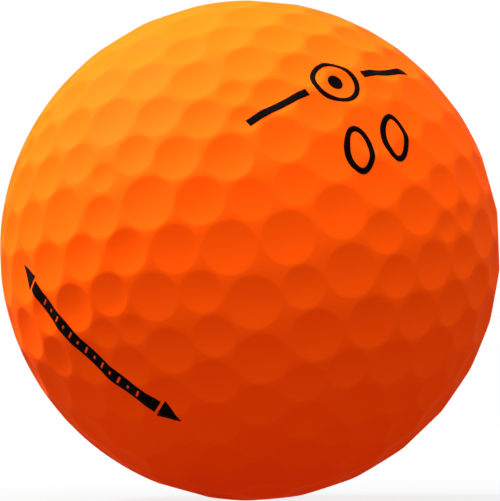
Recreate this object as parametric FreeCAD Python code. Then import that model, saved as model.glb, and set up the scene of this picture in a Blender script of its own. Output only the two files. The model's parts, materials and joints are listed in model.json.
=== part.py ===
"""Two-piece golf ball: a solid rubber core, a moulded cover with 350 dimples, and its printed marks.

Millimetres.  Origin at the ball's centre, +Z up as the ball lies, -Y the side it shows.
The dimples repeat with the 48 symmetries of an octahedron, so a dozen kinds place all of them.
Each mark is a thin film of ink that follows the dimpled surface under it.
"""
import FreeCAD, Part
import itertools
import math
import os

from FreeCAD import Placement, Rotation, Vector

# --- ball -----------------------------------------------------------------------------------
BALL_DIA = 42.7            # over the lands between the dimples
COVER_WALL = 1.65          # from the lands to the cavity
BOND_GAP = 0.02            # running room between core and cavity, so that the two never overlap

# --- dimples --------------------------------------------------------------------------------
RIM_ANGLE = 15.5           # between the ball's surface and the dimple's, at the rim, degrees
RIM_OVERRUN = 0.02         # how far a cutter's curve runs on past the rim
LAYOUT_ANGLES = (9.6, -17.8, 8.8)   # yaw, pitch and roll of the octahedron in the ball, degrees

# Where each kind lies: degrees from the octahedron's corner, and degrees round that corner.
DIMPLE_ANGLES = {
    "corner": (0.0, 45.0),
    "corner_ring": (11.7, 90.0),
    "corner_diagonal": (19.0, 45.0),
    "inner_flank": (23.1, 76.5),
    "middle_flank": (30.5, 57.0),
    "outer_flank": (34.1, 78.4),
    "edge_small": (41.1, 90.0),
    "edge_flank": (41.8, 63.1),
    "face_large": (40.8, 45.0),
    "face_centre": (math.degrees(math.acos(1 / math.sqrt(3))), 45.0),
    "face_ring": (63.9, 45.0),
    "edge_centre": (81.4, 45.0),
}
PLAIN_SPOT_ANGLES = (28.0, 90.0)    # the widest bare land, where the poles of every sphere are put

# How wide each kind is at its rim.
DIMPLE_DIA = {
    "corner": 3.70,
    "corner_ring": 4.60,
    "corner_diagonal": 4.60,
    "inner_flank": 3.65,
    "middle_flank": 4.15,
    "outer_flank": 4.20,
    "edge_small": 2.60,
    "edge_flank": 3.95,
    "face_large": 4.65,
    "face_centre": 2.55,
    "face_ring": 3.65,
    "edge_centre": 3.70,
}

# --- ink ------------------------------------------------------------------------------------
INK = 0.03                 # thickness of a printed film
PRIMER = 0.02              # coat that the ink is printed on, which keeps it clear of the cover
INK_BITE = 0.5             # how deep a mark's blank starts under the lands, inside the cover

# Where each mark is printed from: azimuth to the right of -Y, elevation, and roll, in degrees.
NUMBER_ANGLES = (33.6, 24.9, 16.3)
LINE_ANGLES = (26.6, 41.4, 19.4)
ARROW_ANGLES = (-35.7, -14.7, -43.7)

DIGIT_LENGTH = 4.45        # of the oval figure 0, along its lean
DIGIT_WIDTH = 2.8
DIGIT_STROKE = 0.52
DIGIT_LEAN = 22.7          # degrees to the right of upright
DIGIT_PITCH = 4.1          # from one figure to the next

LINE_WIDTH = 0.7           # of the sight line
DASH_LENGTH = 5.8
LINE_RING_DIA = 4.4        # of the ring in the line's middle
LINE_RING_STROKE = 0.45
LINE_DOT_DIA = 1.4         # of the dot in the ring
LINE_BREAK = 0.9           # bare gap on each side of the ring

ARROW_DROP = 4.45          # from the middle of the printing pad down to the arrow
BAR_LENGTH = 15.2
BAR_WIDTH = 1.25
HEAD_LENGTH = 1.9
HEAD_WIDTH = 1.9
HEAD_BREAK = 0.25          # bare gap between the bar and each head
TICK_COUNT = 13
TICK_PITCH = 0.95
TICK_WIDTH = 0.22
TICK_HEIGHT = 0.75         # of the first tick and every second one after it
SHORT_TICK_HEIGHT = 0.4    # of the ticks between them

BALL_R = BALL_DIA / 2
CAVITY_R = BALL_R - COVER_WALL
UP = Vector(0, 0, 1)


def direction(from_corner, around):
    """Unit vector at a polar angle from +Z and an azimuth from +X, in degrees."""
    polar, azimuth = math.radians(from_corner), math.radians(around)
    return Vector(math.sin(polar) * math.cos(azimuth), math.sin(polar) * math.sin(azimuth), math.cos(polar))


def octahedral_copies(point):
    """All different images of a point under the octahedron's 48 symmetries."""
    found = {}
    for order in itertools.permutations(point):
        for signs in itertools.product((1, -1), repeat=3):
            image = Vector(*(value * sign for value, sign in zip(order, signs)))
            key = tuple(round(value, 6) + 0.0 for value in image)
            found.setdefault(key, image)
    return list(found.values())


def all_dimples():
    """Every dimple as its outward axis and its rim diameter, turned as the layout lies in the ball."""
    turn = Rotation(*LAYOUT_ANGLES)
    dimples = []
    for kind, (from_corner, around) in DIMPLE_ANGLES.items():
        for image in octahedral_copies(direction(from_corner, around)):
            dimples.append((turn.multVec(image), DIMPLE_DIA[kind]))
    return dimples


def saucer(rim_dia, film):
    """What one dimple takes away, about +Z: a spherical bowl that opens into a straight bore.

    With a film thicker than zero it is the dimple in the surface that much above the bare one.
    """
    rim_r = rim_dia / 2
    slope = math.radians(RIM_ANGLE) - math.asin(rim_r / BALL_R)
    bowl_r = rim_r / math.sin(slope)
    bowl_z = math.sqrt(BALL_R ** 2 - rim_r ** 2) + bowl_r * math.cos(slope)
    bowl_r -= film
    outer_r = BALL_R + film
    edge_z = (outer_r ** 2 - bowl_r ** 2 + bowl_z ** 2) / (2 * bowl_z)
    edge = math.acos((bowl_z - edge_z) / bowl_r) + RIM_OVERRUN / bowl_r

    def on_bowl(angle):
        return Vector(bowl_r * math.sin(angle), 0, bowl_z - bowl_r * math.cos(angle))

    bottom, brink = on_bowl(0), on_bowl(edge)
    top_z = outer_r + rim_r
    corner, top = Vector(brink.x, 0, top_z), Vector(0, 0, top_z)
    bowl = Part.Arc(bottom, on_bowl(edge / 2), brink).toShape()
    straight = [Part.makeLine(a, b) for a, b in ((brink, corner), (corner, top), (top, bottom))]
    profile = Part.Face(Part.Wire([bowl] + straight))
    return profile.revolve(Vector(), UP, 360)


def dimpled(body, dimples, film=0.0):
    """Cut dimples out of a body, one diameter after another so that neighbours may run into each other."""
    for rim_dia in sorted({dia for _, dia in dimples}):
        cutter = saucer(rim_dia, film)
        placed = []
        for axis, dia in dimples:
            if dia == rim_dia:
                placed.append(cutter.copy())
                placed[-1].Placement = Placement(Vector(), Rotation(UP, axis))
        body = body.cut(placed)
    return body


def pole():
    """The axis of every sphere, which comes out on bare land."""
    return Rotation(*LAYOUT_ANGLES).multVec(direction(*PLAIN_SPOT_ANGLES))


def plain_ball(radius):
    """A solid ball with one face."""
    return Part.makeSphere(radius, Vector(), pole())


def panelled_ball(radius):
    """The same ball with its face divided into the layout's octants, each with its own poles outside it."""
    octants = []
    for signs in itertools.product((1, -1), repeat=3):
        ball = Part.makeSphere(radius)
        ball.Placement = Placement(Vector(), Rotation(Vector(-1, 0, 0), Vector(*signs)))
        corner = Vector(*(min(sign, 0) * BALL_DIA for sign in signs))
        octants.append(ball.common(Part.makeBox(BALL_DIA, BALL_DIA, BALL_DIA, corner)))
    whole = octants[0].fuse(octants[1:])
    whole.Placement = Placement(Vector(), Rotation(*LAYOUT_ANGLES))
    return whole


def cover(dimples):
    """The moulded shell, dimpled outside and smooth inside."""
    return dimpled(panelled_ball(BALL_R), dimples).cut(plain_ball(CAVITY_R))


def core():
    """The solid rubber ball that the cover is moulded round."""
    return plain_ball(CAVITY_R - BOND_GAP)


def rectangle(length, width, x=0.0, y=0.0):
    """A flat rectangle about (x, y)."""
    return Part.makePlane(length, width, Vector(x - length / 2, y - width / 2, 0))


def oval(length, width):
    """A flat ellipse that leans as the figures do."""
    curve = Part.Ellipse(Vector(), length / 2, width / 2)
    face = Part.Face(Part.Wire(curve.toShape()))
    face.rotate(Vector(), UP, 90 - DIGIT_LEAN)
    return face


def figure_zero(x):
    """The figure 0 as an oval ring."""
    counter = oval(DIGIT_LENGTH - 2 * DIGIT_STROKE, DIGIT_WIDTH - 2 * DIGIT_STROKE)
    ring = oval(DIGIT_LENGTH, DIGIT_WIDTH).cut(counter)
    ring.translate(Vector(x, 0, 0))
    return ring


def sight_dash(side):
    """One half of the sight line, on the left (-1) or the right (+1) of its ring."""
    middle = LINE_RING_DIA / 2 + LINE_BREAK + DASH_LENGTH / 2
    return rectangle(DASH_LENGTH, LINE_WIDTH, side * middle)


def disc(dia):
    """A flat disc."""
    return Part.Face(Part.Wire(Part.makeCircle(dia / 2)))


def sight_ring():
    """The ring in the middle of the sight line."""
    return disc(LINE_RING_DIA).cut(disc(LINE_RING_DIA - 2 * LINE_RING_STROKE))


def arrow_bar():
    """The arrow's shaft, with a row of bare ticks across it, tall and short by turns."""
    ticks = []
    for i in range(TICK_COUNT):
        x = (i - (TICK_COUNT - 1) / 2) * TICK_PITCH
        height = SHORT_TICK_HEIGHT if i % 2 else TICK_HEIGHT
        ticks.append(rectangle(TICK_WIDTH, height, x, -ARROW_DROP))
    return rectangle(BAR_LENGTH, BAR_WIDTH, 0, -ARROW_DROP).cut(ticks)


def arrow_head(side):
    """The arrow's head at the left (-1) or the right (+1) end."""
    base = side * (BAR_LENGTH / 2 + HEAD_BREAK)
    low = Vector(base, -ARROW_DROP - HEAD_WIDTH / 2, 0)
    tip = Vector(base + side * HEAD_LENGTH, -ARROW_DROP, 0)
    high = Vector(base, -ARROW_DROP + HEAD_WIDTH / 2, 0)
    return Part.Face(Part.makePolygon([low, tip, high, low]))


def printed(mark, facing, dimples):
    """A flat mark printed straight on to the ball from where it faces: a film that follows the dimples."""
    azimuth, elevation, roll = facing
    turn = Rotation(UP, azimuth) * Rotation(Vector(1, 0, 0), 90 - elevation) * Rotation(UP, roll)
    ray = mark.extrude(UP * (BALL_R + INK_BITE))
    ray.Placement = Placement(Vector(), turn) * ray.Placement
    blank = ray.common(plain_ball(BALL_R + PRIMER + INK).cut(plain_ball(BALL_R - INK_BITE))).Solids[0]
    middle = blank.CenterOfMass
    reach = max((vertex.Point - middle).Length for vertex in blank.Vertexes)
    near = [(axis, dia) for axis, dia in dimples if (axis * BALL_R - middle).Length < reach + dia]
    primed = dimpled(plain_ball(BALL_R + PRIMER), near, PRIMER)
    return dimpled(blank, near, PRIMER + INK).cut(primed)


def marks(dimples):
    """Every printed mark, by node name."""
    flat = {
        "number_zero_left": (figure_zero(-DIGIT_PITCH / 2), NUMBER_ANGLES),
        "number_zero_right": (figure_zero(DIGIT_PITCH / 2), NUMBER_ANGLES),
        "sight_line_left": (sight_dash(-1), LINE_ANGLES),
        "sight_line_ring": (sight_ring(), LINE_ANGLES),
        "sight_line_dot": (disc(LINE_DOT_DIA), LINE_ANGLES),
        "sight_line_right": (sight_dash(1), LINE_ANGLES),
        "arrow_bar": (arrow_bar(), ARROW_ANGLES),
        "arrow_head_upper": (arrow_head(-1), ARROW_ANGLES),
        "arrow_head_lower": (arrow_head(1), ARROW_ANGLES),
    }
    return {node: printed(mark, facing, dimples) for node, (mark, facing) in flat.items()}


def main():
    os.makedirs("parts", exist_ok=True)
    dimples = all_dimples()
    nodes = {"core": core(), "cover": cover(dimples)}
    nodes.update(marks(dimples))
    for node, shape in nodes.items():
        health = "valid" if shape.isValid() else "NOT VALID"
        print(node, len(shape.Solids), "solid", health, round(shape.Volume, 3), "mm3")
        solid = shape.Solids[0] if len(shape.Solids) == 1 else shape
        solid.exportStep("parts/" + node + ".step")


main()
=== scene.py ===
"""Looks of a matte orange golf ball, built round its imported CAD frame.  Metres, +Z up, seen from -Y.

The moulded cover is rebuilt as one closed shell whose dimples have soft rims, and each printed mark as a
film of ink that follows it.  The rubber core keeps its CAD mesh.
"""

import itertools
import json
import math

import bmesh
import bpy
import numpy as np
from mathutils import Euler, Matrix, Vector
from mathutils.geometry import delaunay_2d_cdt


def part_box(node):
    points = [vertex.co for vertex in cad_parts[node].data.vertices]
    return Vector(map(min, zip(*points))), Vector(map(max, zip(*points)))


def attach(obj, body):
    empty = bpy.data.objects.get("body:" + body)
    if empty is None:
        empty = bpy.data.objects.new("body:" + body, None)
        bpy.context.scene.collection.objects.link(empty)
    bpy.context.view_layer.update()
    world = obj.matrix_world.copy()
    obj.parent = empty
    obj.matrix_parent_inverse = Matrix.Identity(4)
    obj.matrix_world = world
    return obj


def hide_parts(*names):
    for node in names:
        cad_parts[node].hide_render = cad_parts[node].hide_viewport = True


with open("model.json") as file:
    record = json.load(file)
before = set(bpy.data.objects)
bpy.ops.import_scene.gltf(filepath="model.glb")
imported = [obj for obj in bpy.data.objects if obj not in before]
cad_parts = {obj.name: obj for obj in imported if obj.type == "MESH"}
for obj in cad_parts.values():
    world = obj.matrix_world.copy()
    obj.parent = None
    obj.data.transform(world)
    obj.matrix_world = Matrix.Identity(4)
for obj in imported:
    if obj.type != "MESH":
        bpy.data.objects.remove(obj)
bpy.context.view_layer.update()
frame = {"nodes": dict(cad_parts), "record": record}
nodes = frame["nodes"]

MM = 0.001
seat = next(m for m in frame["record"]["mounts"] if m["name"] == "tee_seat")
BALL_R = -seat["pos_m"][2]     # the origin is the ball's middle, and the seat its lowest point
CORE_R = (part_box("core")[1].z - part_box("core")[0].z) / 2
BOND_GAP = 0.02 * MM           # the CAD keeps the core this far from the cover
CAVITY_R = CORE_R + BOND_GAP

# --- dimples, laid out as in the CAD ----------------------------------------------------------------
RIM_ANGLE = math.radians(15.5)    # between a bowl and the ball where they meet
RIM_SOFTNESS = 0.05 * MM          # a rounded rim lies a quarter of this under the sharp one
# degrees about z, y and x; the turn about x comes first
LAYOUT_TURN = (9.6, -17.8, 8.8)
# kind: degrees from the octahedron's corner, degrees round it, mm across the rim
DIMPLES = {
    "corner": (0.0, 45.0, 3.70),
    "corner_ring": (11.7, 90.0, 4.60),
    "corner_diagonal": (19.0, 45.0, 4.60),
    "inner_flank": (23.1, 76.5, 3.65),
    "middle_flank": (30.5, 57.0, 4.15),
    "outer_flank": (34.1, 78.4, 4.20),
    "edge_small": (41.1, 90.0, 2.60),
    "edge_flank": (41.8, 63.1, 3.95),
    "face_large": (40.8, 45.0, 4.65),
    "face_centre": (math.degrees(math.acos(1 / math.sqrt(3))), 45.0, 2.55),
    "face_ring": (63.9, 45.0, 3.65),
    "edge_centre": (81.4, 45.0, 3.70),
}
PLAIN_SPOT = (28.0, 90.0)         # on the widest bare land: degrees from the corner and round it
ASLANT = (0.3, 0.9, 0.2)          # a direction that no dimple's axis has
REACH = math.radians(3.0)         # how far past its rim a dimple still shapes the surface
# rings of vertices in and round each dimple: share of the rim's radius, and mm beyond that
RINGS = ((0.0, 0.0), (0.18, 0.0), (0.4, 0.0), (0.66, 0.0),
         (1.0, -0.28), (1.0, -0.1), (1.0, 0.0), (1.0, 0.1))
RING_STEP = 0.28                  # mm between the vertices of a ring
LAND_CLEARANCE = 0.05             # mm that those outside the rim keep from the next dimple's rim
HULL_TRIANGLES = 0                # delaunay_2d_cdt's output type for triangles all over
MERGE_WITHIN = 1e-9               # it takes points nearer together than this for one
CAVITY_DIVISIONS = 5              # of an icosahedron, for the cover's inside

# --- ink; each mark's own function gives its sizes, in mm -------------------------------------------
INK_TOP = 0.03 * MM               # over the dimpled surface
INK_ROOT = 0.02 * MM              # under it
# where each mark is printed from, straight on to the ball: azimuth, elevation and roll in degrees
NUMBER_FACING = (33.6, 24.9, 16.3)
LINE_FACING = (26.6, 41.4, 19.4)
ARROW_FACING = (-35.7, -14.7, -43.7)
PASSES = 4                        # that bring a mark's points down to the dimpled surface
FINE = 0.15                       # mm between the lines of a mark's mesh
STROKE_CELLS = 3                  # across the stroke of a printed ring
TURN_CELLS = 96                   # round it
SIDES = ((-1, "left"), (1, "right"))

# --- colours: each surface is mottled between two of them -------------------------------------------
ORANGE = ((0.94, 0.0905, 0.0012), (0.96, 0.0985, 0.0018))
INK_BLACK = ((0.0010, 0.0004, 0.0004), (0.0026, 0.0014, 0.0014))
RUBBER_GREY = ((0.27, 0.29, 0.31), (0.36, 0.38, 0.40))

# --- stage ------------------------------------------------------------------------------------------
FLOOR_HALF = 3.0                  # metres from the middle of the floor to each of its sides
FLOOR_MATT = (0.04, 0.04, 0.04)   # its own colour under light
FLOOR_GLOW = (0.49, 0.16, 0.05)   # what it lights the ball with
FLOOR_NEAR = (0.84, 0.84, 0.84)   # the glow that the camera sees instead, by the ball
FLOOR_FAR = (0.97, 0.97, 0.97)    # and further off
FLOOR_FADE = (2, 8)               # from near to far between these distances, in ball radii
WORLD_LEVEL = (0.60, 0.60, 0.60)  # what the surround lights the ball with
WORLD_SEEN = (1.0, 1.0, 1.0)      # what the camera sees instead
# name: azimuth to the right of the camera, elevation, distance in ball radii, size in ball radii, watts
LAMPS = {
    "key": (-105.0, 50.0, 14.0, 2.5, 1.86),
    "top": (-45.0, 77.0, 8.0, 13.4, 0.78),
}

# --- camera: in front and all but level -------------------------------------------------------------
APPARENT_R = 0.0320               # the ball's radius over the camera's distance
FILL = 1.0004                     # the ball's width over the frame's
FRAME_WIDTH, FRAME_HEIGHT = 500, 501
CAMERA_ELEVATION = math.radians(-0.17)
CLIP_RATIO = 10                   # between the camera's distance and where its view begins and ends


def unit(vectors):
    """Rows scaled to length one."""
    return vectors / np.linalg.norm(vectors, axis=-1, keepdims=True)


# ===== the dimpled surface ===========================================================================

TURN = np.array(Euler([math.radians(a) for a in reversed(LAYOUT_TURN)], "XYZ").to_matrix())


def polar_direction(from_corner, around):
    """Unit vector at a polar angle from +Z and an azimuth from +X, in degrees."""
    polar, azimuth = math.radians(from_corner), math.radians(around)
    level = math.sin(polar)
    return np.array((level * math.cos(azimuth), level * math.sin(azimuth), math.cos(polar)))


def dimple_field():
    """Each dimple's axis, the distance of its bowl's centre, its bowl's radius and its rim's angle."""
    axes, centres, radii, rims = [], [], [], []
    for from_corner, around, rim_dia in DIMPLES.values():
        images = {}
        for order in itertools.permutations(polar_direction(from_corner, around)):
            for signs in itertools.product((1, -1), repeat=3):
                image = tuple(v * s for v, s in zip(order, signs))
                images.setdefault(tuple(round(v, 6) + 0.0 for v in image), image)
        rim_r = rim_dia * MM / 2
        slope = RIM_ANGLE - math.asin(rim_r / BALL_R)
        bowl_r = rim_r / math.sin(slope)
        for image in images.values():
            axes.append(TURN @ np.array(image))
            centres.append(math.sqrt(BALL_R ** 2 - rim_r ** 2) + bowl_r * math.cos(slope))
            radii.append(bowl_r)
            rims.append(math.asin(rim_r / BALL_R))
    return np.array(axes), np.array(centres), np.array(radii), np.array(rims)


AXES, BOWL_AT, BOWL_R, RIMS = dimple_field()


def surface_radius(directions):
    """Distance of the dimpled surface from the ball's centre, along unit vectors."""
    radius = np.full(len(directions), BALL_R)
    for axis, at, bowl, rim in zip(AXES, BOWL_AT, BOWL_R, RIMS):
        along = directions @ axis
        near = np.nonzero(along > math.cos(rim + REACH))[0]
        cosine = along[near]
        hollow = at * cosine - np.sqrt(bowl ** 2 - at ** 2 * (1 - cosine ** 2))
        land = radius[near]
        blend = np.maximum(RIM_SOFTNESS - np.abs(hollow - land), 0) / RIM_SOFTNESS
        radius[near] = np.minimum(hollow, land) - blend ** 2 * RIM_SOFTNESS / 4
    return radius


def frame_about(axis):
    """Two unit vectors square to an axis and to each other."""
    aside = unit(np.cross(axis, ASLANT))
    return aside, np.cross(axis, aside)


def dimple_points():
    """Directions of the mesh's vertices on the dimpled surface, and the pairs that make up the rims."""
    points, rim_edges = [], []
    count = 0
    for i, (axis, rim) in enumerate(zip(AXES, RIMS)):
        aside, across = frame_about(axis)
        others = np.arange(len(AXES)) != i
        for share, offset in RINGS:
            polar = rim * share + offset * MM / BALL_R
            number = max(1, round(2 * math.pi * polar * BALL_R / (RING_STEP * MM)))
            turns = np.arange(number) * 2 * math.pi / number
            sides = np.outer(np.cos(turns), aside) + np.outer(np.sin(turns), across)
            ring = math.cos(polar) * axis + math.sin(polar) * sides
            if offset > 0:
                clear = np.arccos(np.clip(ring @ AXES[others].T, -1, 1)) - RIMS[others]
                ring = ring[clear.min(axis=1) > LAND_CLEARANCE * MM / BALL_R]
            elif share == 1 and offset == 0:
                rim_edges += [(count + j, count + (j + 1) % number) for j in range(number)]
            points.append(ring)
            count += len(ring)
    return np.vstack(points), rim_edges


def open_sides(faces):
    """The sides that only one face has, as pairs of vertices in that face's order."""
    sides = dict.fromkeys(side for face in faces for side in zip(face, face[1:] + face[:1]))
    return [(a, b) for a, b in sides if (b, a) not in sides]


def spherical_mesh(points, edges):
    """Delaunay triangles between unit vectors, laid flat as seen from the last, then joined to it."""
    pole = points[-1]
    aside, across = frame_about(pole)
    away = 1 - points[:-1] @ pole
    flat = np.stack([points[:-1] @ aside / away, points[:-1] @ across / away], axis=1)
    flat = [Vector(p) for p in flat]
    need_ids = False
    _, _, triangles, *_ = delaunay_2d_cdt(flat, edges, [], HULL_TRIANGLES, MERGE_WITHIN, need_ids)
    fan = [(b, a, len(points) - 1) for a, b in open_sides(triangles)]
    return np.vstack([triangles, fan])[:, ::-1]


def new_object(name, points, faces, smooth=True):
    """A mesh object from points and from faces that number them."""
    mesh = bpy.data.meshes.new(name)
    mesh.from_pydata([tuple(p) for p in points], [], [tuple(int(i) for i in f) for f in faces])
    mesh.update()
    mesh.polygons.foreach_set("use_smooth", [smooth] * len(mesh.polygons))
    piece = bpy.data.objects.new(name, mesh)
    bpy.context.scene.collection.objects.link(piece)
    return piece


def build_cover():
    """The cover as one closed shell: dimpled outside, plain sphere inside."""
    outer, rims = dimple_points()
    outer = np.vstack([outer, TURN @ polar_direction(*PLAIN_SPOT)])
    points = outer * surface_radius(outer)[:, None]
    piece = new_object("cover_moulding", points, spherical_mesh(outer, rims))
    shell = bmesh.new()
    shell.from_mesh(piece.data)
    cavity = bmesh.ops.create_icosphere(shell, subdivisions=CAVITY_DIVISIONS, radius=CAVITY_R)["verts"]
    inside = {face for vert in cavity for face in vert.link_faces}
    bmesh.ops.reverse_faces(shell, faces=list(inside))
    for face in shell.faces:
        face.smooth = True
    shell.to_mesh(piece.data)
    shell.free()
    return piece


# ===== printed marks ================================================================================

def facing_axes(facing):
    """The right, up and outward directions of a mark printed from azimuth, elevation and roll."""
    azimuth, elevation, roll = (math.radians(a) for a in facing)
    turn = (Matrix.Rotation(azimuth, 3, "Z") @ Matrix.Rotation(math.pi / 2 - elevation, 3, "X")
            @ Matrix.Rotation(roll, 3, "Z"))
    return np.array(turn).T


def on_ball(flat, facing, lift):
    """Flat points in mm, carried straight on to the dimpled surface and then outward by a lift."""
    right, up, out = facing_axes(facing)
    x, y = flat[:, 0] * MM, flat[:, 1] * MM
    radius = np.full(len(flat), BALL_R)
    for _ in range(PASSES):
        z = np.sqrt(radius ** 2 - x ** 2 - y ** 2)
        direction = unit(np.outer(x, right) + np.outer(y, up) + np.outer(z, out))
        radius = surface_radius(direction)
    return direction * (radius + lift)[:, None]


def film(name, flat, quads, facing, node):
    """A closed film of ink over a flat patch of quads, in place of its CAD node."""
    flat = np.array(flat, float)
    count = len(flat)
    points = np.vstack([on_ball(flat, facing, INK_TOP), on_ball(flat, facing, -INK_ROOT)])
    under = [tuple(i + count for i in reversed(quad)) for quad in quads]
    rim = [(b, a, a + count, b + count) for a, b in open_sides(quads)]
    piece = new_object(name, points, quads + under + rim)
    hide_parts(node)
    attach(piece, "root")
    return piece


def ring_patch(outline):
    """Quads all round a ring: outline(turn, share) gives a point, its share 0 inside and 1 outside."""
    row = STROKE_CELLS + 1
    flat = [outline(i / TURN_CELLS, j / STROKE_CELLS) for i in range(TURN_CELLS) for j in range(row)]
    quads = []
    for i in range(TURN_CELLS):
        here, there = i * row, ((i + 1) % TURN_CELLS) * row
        for j in range(STROKE_CELLS):
            quads.append((here + j, here + j + 1, there + j + 1, there + j))
    return flat, quads


def grid_patch(xs, ys, bare=lambda x, y: False, shape=lambda x, y: (x, y)):
    """Quads over a grid, without the cells whose middle is bare; shape places each crossing."""
    wanted, used, flat = [], {}, []
    for i in range(len(xs) - 1):
        for j in range(len(ys) - 1):
            if not bare((xs[i] + xs[i + 1]) / 2, (ys[j] + ys[j + 1]) / 2):
                wanted.append(((i, j), (i + 1, j), (i + 1, j + 1), (i, j + 1)))
    for cell in wanted:
        for i, j in cell:
            if (i, j) not in used:
                used[(i, j)] = len(flat)
                flat.append(shape(xs[i], ys[j]))
    return flat, [tuple(used[c] for c in cell) for cell in wanted]


def spaced(low, high, step):
    """Evenly spaced values from low to high, about a step apart."""
    count = max(1, round((high - low) / step))
    return [low + (high - low) * i / count for i in range(count + 1)]


def figure_zero(side, word):
    """One figure 0 of the play number, on one side of its middle: an oval ring, leaning right."""
    length, width, stroke, pitch, lean = 4.45, 2.8, 0.52, 4.1, math.radians(22.7)

    def outline(turn, share):
        angle = 2 * math.pi * turn
        long = (length / 2 - stroke * (1 - share)) * math.cos(angle)
        short = (width / 2 - stroke * (1 - share)) * math.sin(angle)
        x = side * pitch / 2 + long * math.sin(lean) - short * math.cos(lean)
        return (x, long * math.cos(lean) + short * math.sin(lean))

    return film("figure_" + word, *ring_patch(outline), NUMBER_FACING, "number_zero_" + word)


def sight_line():
    """A plain line broken in the middle by a ring with a dot in it."""
    line_width, dash, ring_dia, stroke, dot_dia, gap = 0.7, 5.8, 4.4, 0.45, 1.4, 0.9
    disc_step = 0.2                # of the dot's radius, between the lines of its mesh
    start = ring_dia / 2 + gap
    ys = spaced(-line_width / 2, line_width / 2, FINE)
    films = []
    for side, word in SIDES:
        ends = sorted((side * start, side * (start + dash)))
        patch = grid_patch(spaced(*ends, FINE), ys)
        films.append(film("sight_dash_" + word, *patch, LINE_FACING, "sight_line_" + word))

    def outline(turn, share):
        radius, angle = ring_dia / 2 - stroke * (1 - share), 2 * math.pi * turn
        return (radius * math.cos(angle), radius * math.sin(angle))

    films.append(film("sight_ring", *ring_patch(outline), LINE_FACING, "sight_line_ring"))

    def disc(u, v):
        """A square grid bulged out into a disc."""
        return (dot_dia / 2 * u * math.sqrt(1 - v * v / 2), dot_dia / 2 * v * math.sqrt(1 - u * u / 2))

    lines = spaced(-1, 1, disc_step)
    patch = grid_patch(lines, lines, shape=disc)
    films.append(film("sight_dot", *patch, LINE_FACING, "sight_line_dot"))
    return films


def arrow():
    """A plain double-ended arrow with a row of bare ticks across its bar, tall and short by turns."""
    drop = 4.45                    # of the arrow's middle line below the middle of its facing
    length, width, head, head_width, gap = 15.2, 1.25, 1.9, 1.9, 0.25
    ticks, pitch, tick_width, tall, short = 13, 0.95, 0.22, 0.75, 0.4
    tip = 0.98                     # the share of a head's length before its blunt point is cut off
    along, across = 0.08, 0.15     # steps of a head's mesh, as shares of its length and half its width
    middles = [(i - (ticks - 1) / 2) * pitch for i in range(ticks)]
    sides = sorted(m + s * tick_width / 2 for m in middles for s in (-1, 1))
    stops = [-length / 2] + sides + [length / 2]
    xs = [stops[0]]
    for low, high in zip(stops, stops[1:]):
        xs += spaced(low, high, FINE)[1:]
    ys = [y - drop for y in (-width / 2, -tall / 2, -short / 2, 0, short / 2, tall / 2, width / 2)]

    def bare(x, y):
        """Whether a point lies on a tick."""
        return any(abs(x - middle) < tick_width / 2 and abs(y + drop) < (short if i % 2 else tall) / 2
                   for i, middle in enumerate(middles))

    films = [film("arrow_shaft", *grid_patch(xs, ys, bare), ARROW_FACING, "arrow_bar")]
    for side, word in ((-1, "upper"), (1, "lower")):
        base = side * (length / 2 + gap)

        def taper(u, v):
            """A square grid drawn together towards the point."""
            return (base + side * head * u, -drop + side * v * head_width / 2 * (1 - u))

        patch = grid_patch(spaced(0, tip, along), spaced(-1, 1, across), shape=taper)
        films.append(film("arrow_point_" + word, *patch, ARROW_FACING, "arrow_head_" + word))
    return films


# ===== materials ====================================================================================

def shader(name, **sockets):
    """A new material, its node tree and its Principled shader, with the named sockets set."""
    material = bpy.data.materials.new(name)
    material.use_nodes = True
    principled = material.node_tree.nodes["Principled BSDF"]
    for socket, value in sockets.items():
        principled.inputs[socket.replace("_", " ")].default_value = value
    return material, material.node_tree, principled


def noise(tree, scale, detail):
    """A noise texture in the ball's own coordinates."""
    place = tree.nodes.new("ShaderNodeTexCoord")
    texture = tree.nodes.new("ShaderNodeTexNoise")
    texture.inputs["Scale"].default_value = scale
    texture.inputs["Detail"].default_value = detail
    tree.links.new(place.outputs["Object"], texture.inputs["Vector"])
    return texture.outputs["Fac"]


def ranged(tree, value, low, high):
    """A 0 to 1 value spread between two limits."""
    spread = tree.nodes.new("ShaderNodeMapRange")
    spread.inputs["To Min"].default_value = low
    spread.inputs["To Max"].default_value = high
    tree.links.new(value, spread.inputs["Value"])
    return spread.outputs["Result"]


def tinted(tree, value, low, high):
    """A colour between two, by a value; each is a triple or another node's output."""
    mix = tree.nodes.new("ShaderNodeMix")
    mix.data_type = "RGBA"
    for end, colour in (("A", low), ("B", high)):
        if isinstance(colour, tuple):
            mix.inputs[end].default_value = (*colour, 1)
        else:
            tree.links.new(colour, mix.inputs[end])
    tree.links.new(value, mix.inputs["Factor"])
    return mix.outputs["Result"]


def bumped(tree, principled, value, height):
    """Fine relief of a given height, in metres."""
    bump = tree.nodes.new("ShaderNodeBump")
    bump.inputs["Distance"].default_value = height
    tree.links.new(value, bump.inputs["Height"])
    tree.links.new(bump.outputs["Normal"], principled.inputs["Normal"])


def matte_orange():
    """Orange ionomer under a soft-touch matte clear coat."""
    sheen = {"Sheen_Weight": 0.01, "Sheen_Roughness": 0.5, "Sheen_Tint": (1.0, 0.5, 0.1, 1)}
    material, tree, principled = shader("matte_orange_cover", Specular_IOR_Level=0.012, **sheen)
    mottle = noise(tree, scale=260.0, detail=3.0)
    grain = noise(tree, scale=9000.0, detail=2.0)
    tree.links.new(tinted(tree, mottle, *ORANGE), principled.inputs["Base Color"])
    tree.links.new(ranged(tree, mottle, low=0.62, high=0.70), principled.inputs["Roughness"])
    bumped(tree, principled, grain, height=0.004 * MM)
    return material


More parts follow.
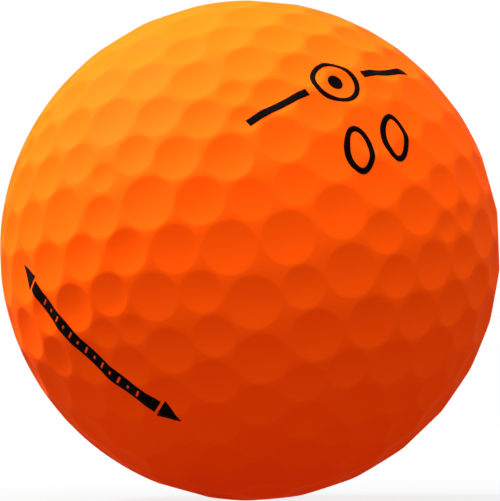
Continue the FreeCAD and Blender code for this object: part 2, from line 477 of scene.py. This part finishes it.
def black_ink():
    """Black pad-printed ink."""
    material, tree, principled = shader("black_ink", Specular_IOR_Level=0.01)
    patch = noise(tree, scale=900.0, detail=3.0)
    tree.links.new(tinted(tree, patch, *INK_BLACK), principled.inputs["Base Color"])
    tree.links.new(ranged(tree, patch, low=0.50, high=0.62), principled.inputs["Roughness"])
    bumped(tree, principled, patch, height=0.003 * MM)
    return material


def core_rubber():
    """Moulded rubber, faintly speckled."""
    material, tree, principled = shader("core_rubber", Roughness=0.75)
    speck = noise(tree, scale=1400.0, detail=4.0)
    tree.links.new(tinted(tree, speck, *RUBBER_GREY), principled.inputs["Base Color"])
    bumped(tree, principled, speck, height=0.02 * MM)
    return material


def paint(piece, material):
    """Give a piece one material in place of any that it has."""
    piece.data.materials.clear()
    piece.data.materials.append(material)


# ===== stage, lamps and camera ======================================================================

def seen_floor(tree):
    """What the camera sees the floor glow with: a little grey by the ball, white further off."""
    place = tree.nodes.new("ShaderNodeTexCoord")
    length = tree.nodes.new("ShaderNodeVectorMath")
    length.operation = "LENGTH"
    tree.links.new(place.outputs["Object"], length.inputs[0])
    reach = tree.nodes.new("ShaderNodeMapRange")
    for end, radii in zip(("From Min", "From Max"), FLOOR_FADE):
        reach.inputs[end].default_value = radii * BALL_R
    tree.links.new(length.outputs["Value"], reach.inputs["Value"])
    return tinted(tree, reach.outputs["Result"], FLOOR_NEAR, FLOOR_FAR)


def seen_or_lit(tree, lit, seen):
    """One colour where light falls from, another where a camera, gloss or clear ray looks."""
    ray = tree.nodes.new("ShaderNodeLightPath")
    looks = ray.outputs["Is Camera Ray"]
    for other in ("Is Glossy Ray", "Is Transmission Ray"):
        either = tree.nodes.new("ShaderNodeMath")
        either.operation = "MAXIMUM"
        tree.links.new(looks, either.inputs[0])
        tree.links.new(ray.outputs[other], either.inputs[1])
        looks = either.outputs[0]
    return tinted(tree, looks, lit, seen)


def plain_stage():
    """A surround and a glowing floor, both seen as white; the floor takes the ball's soft shadow."""
    material = bpy.data.materials.new("pale_floor")
    material.use_nodes = True
    tree = material.node_tree
    tree.nodes.clear()
    matt = tree.nodes.new("ShaderNodeBsdfDiffuse")
    matt.inputs["Color"].default_value = (*FLOOR_MATT, 1)
    glow = tree.nodes.new("ShaderNodeEmission")
    tree.links.new(seen_or_lit(tree, FLOOR_GLOW, seen_floor(tree)), glow.inputs["Color"])
    both = tree.nodes.new("ShaderNodeAddShader")
    out = tree.nodes.new("ShaderNodeOutputMaterial")
    tree.links.new(matt.outputs[0], both.inputs[0])
    tree.links.new(glow.outputs[0], both.inputs[1])
    tree.links.new(both.outputs[0], out.inputs["Surface"])
    signs = ((-1, -1), (1, -1), (1, 1), (-1, 1))
    corners = [(x * FLOOR_HALF, y * FLOOR_HALF, -BALL_R) for x, y in signs]
    floor = new_object("floor", corners, [(0, 1, 2, 3)], smooth=False)
    paint(floor, material)

    world = bpy.data.worlds.new("studio")
    bpy.context.scene.world = world
    world.use_nodes = True
    tree = world.node_tree
    tree.nodes.clear()
    background = tree.nodes.new("ShaderNodeBackground")
    tree.links.new(seen_or_lit(tree, WORLD_LEVEL, WORLD_SEEN), background.inputs["Color"])
    out = tree.nodes.new("ShaderNodeOutputWorld")
    tree.links.new(background.outputs[0], out.inputs["Surface"])


def add_lamps():
    """Round soft lamps that all face the ball."""
    for name, (azimuth, elevation, distance, size, power) in LAMPS.items():
        around, above = math.radians(azimuth), math.radians(elevation)
        level = math.cos(above)
        toward = Vector((math.sin(around) * level, -math.cos(around) * level, math.sin(above)))
        lamp = bpy.data.lights.new(name, "AREA")
        lamp.shape = "DISK"
        lamp.size = size * BALL_R
        lamp.energy = power
        holder = bpy.data.objects.new(name, lamp)
        holder.location = toward * distance * BALL_R
        holder.rotation_euler = toward.to_track_quat("Z", "Y").to_euler()
        bpy.context.scene.collection.objects.link(holder)


def add_camera():
    """A camera that faces the ball's middle, with the ball filling the width of the frame."""
    camera = bpy.data.cameras.new("camera")
    half_ball = math.tan(math.asin(APPARENT_R))
    camera.lens = camera.sensor_width * FILL * FRAME_WIDTH / FRAME_HEIGHT / (2 * half_ball)
    holder = bpy.data.objects.new("camera", camera)
    distance = BALL_R / APPARENT_R
    holder.location = (0, -distance * math.cos(CAMERA_ELEVATION), distance * math.sin(CAMERA_ELEVATION))
    holder.rotation_euler = (math.pi / 2 - CAMERA_ELEVATION, 0, 0)
    camera.clip_start, camera.clip_end = distance / CLIP_RATIO, distance * CLIP_RATIO
    bpy.context.scene.collection.objects.link(holder)
    bpy.context.scene.camera = holder


# ===== assembly =====================================================================================

cover = build_cover()
paint(cover, matte_orange())
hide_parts("cover")
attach(cover, "root")
paint(nodes["core"], core_rubber())

play_number = [figure_zero(side, word) for side, word in SIDES]
ink = black_ink()
for piece in play_number + sight_line() + arrow():
    paint(piece, ink)

plain_stage()
add_lamps()
add_camera()
bpy.context.scene.view_settings.view_transform = "Standard"
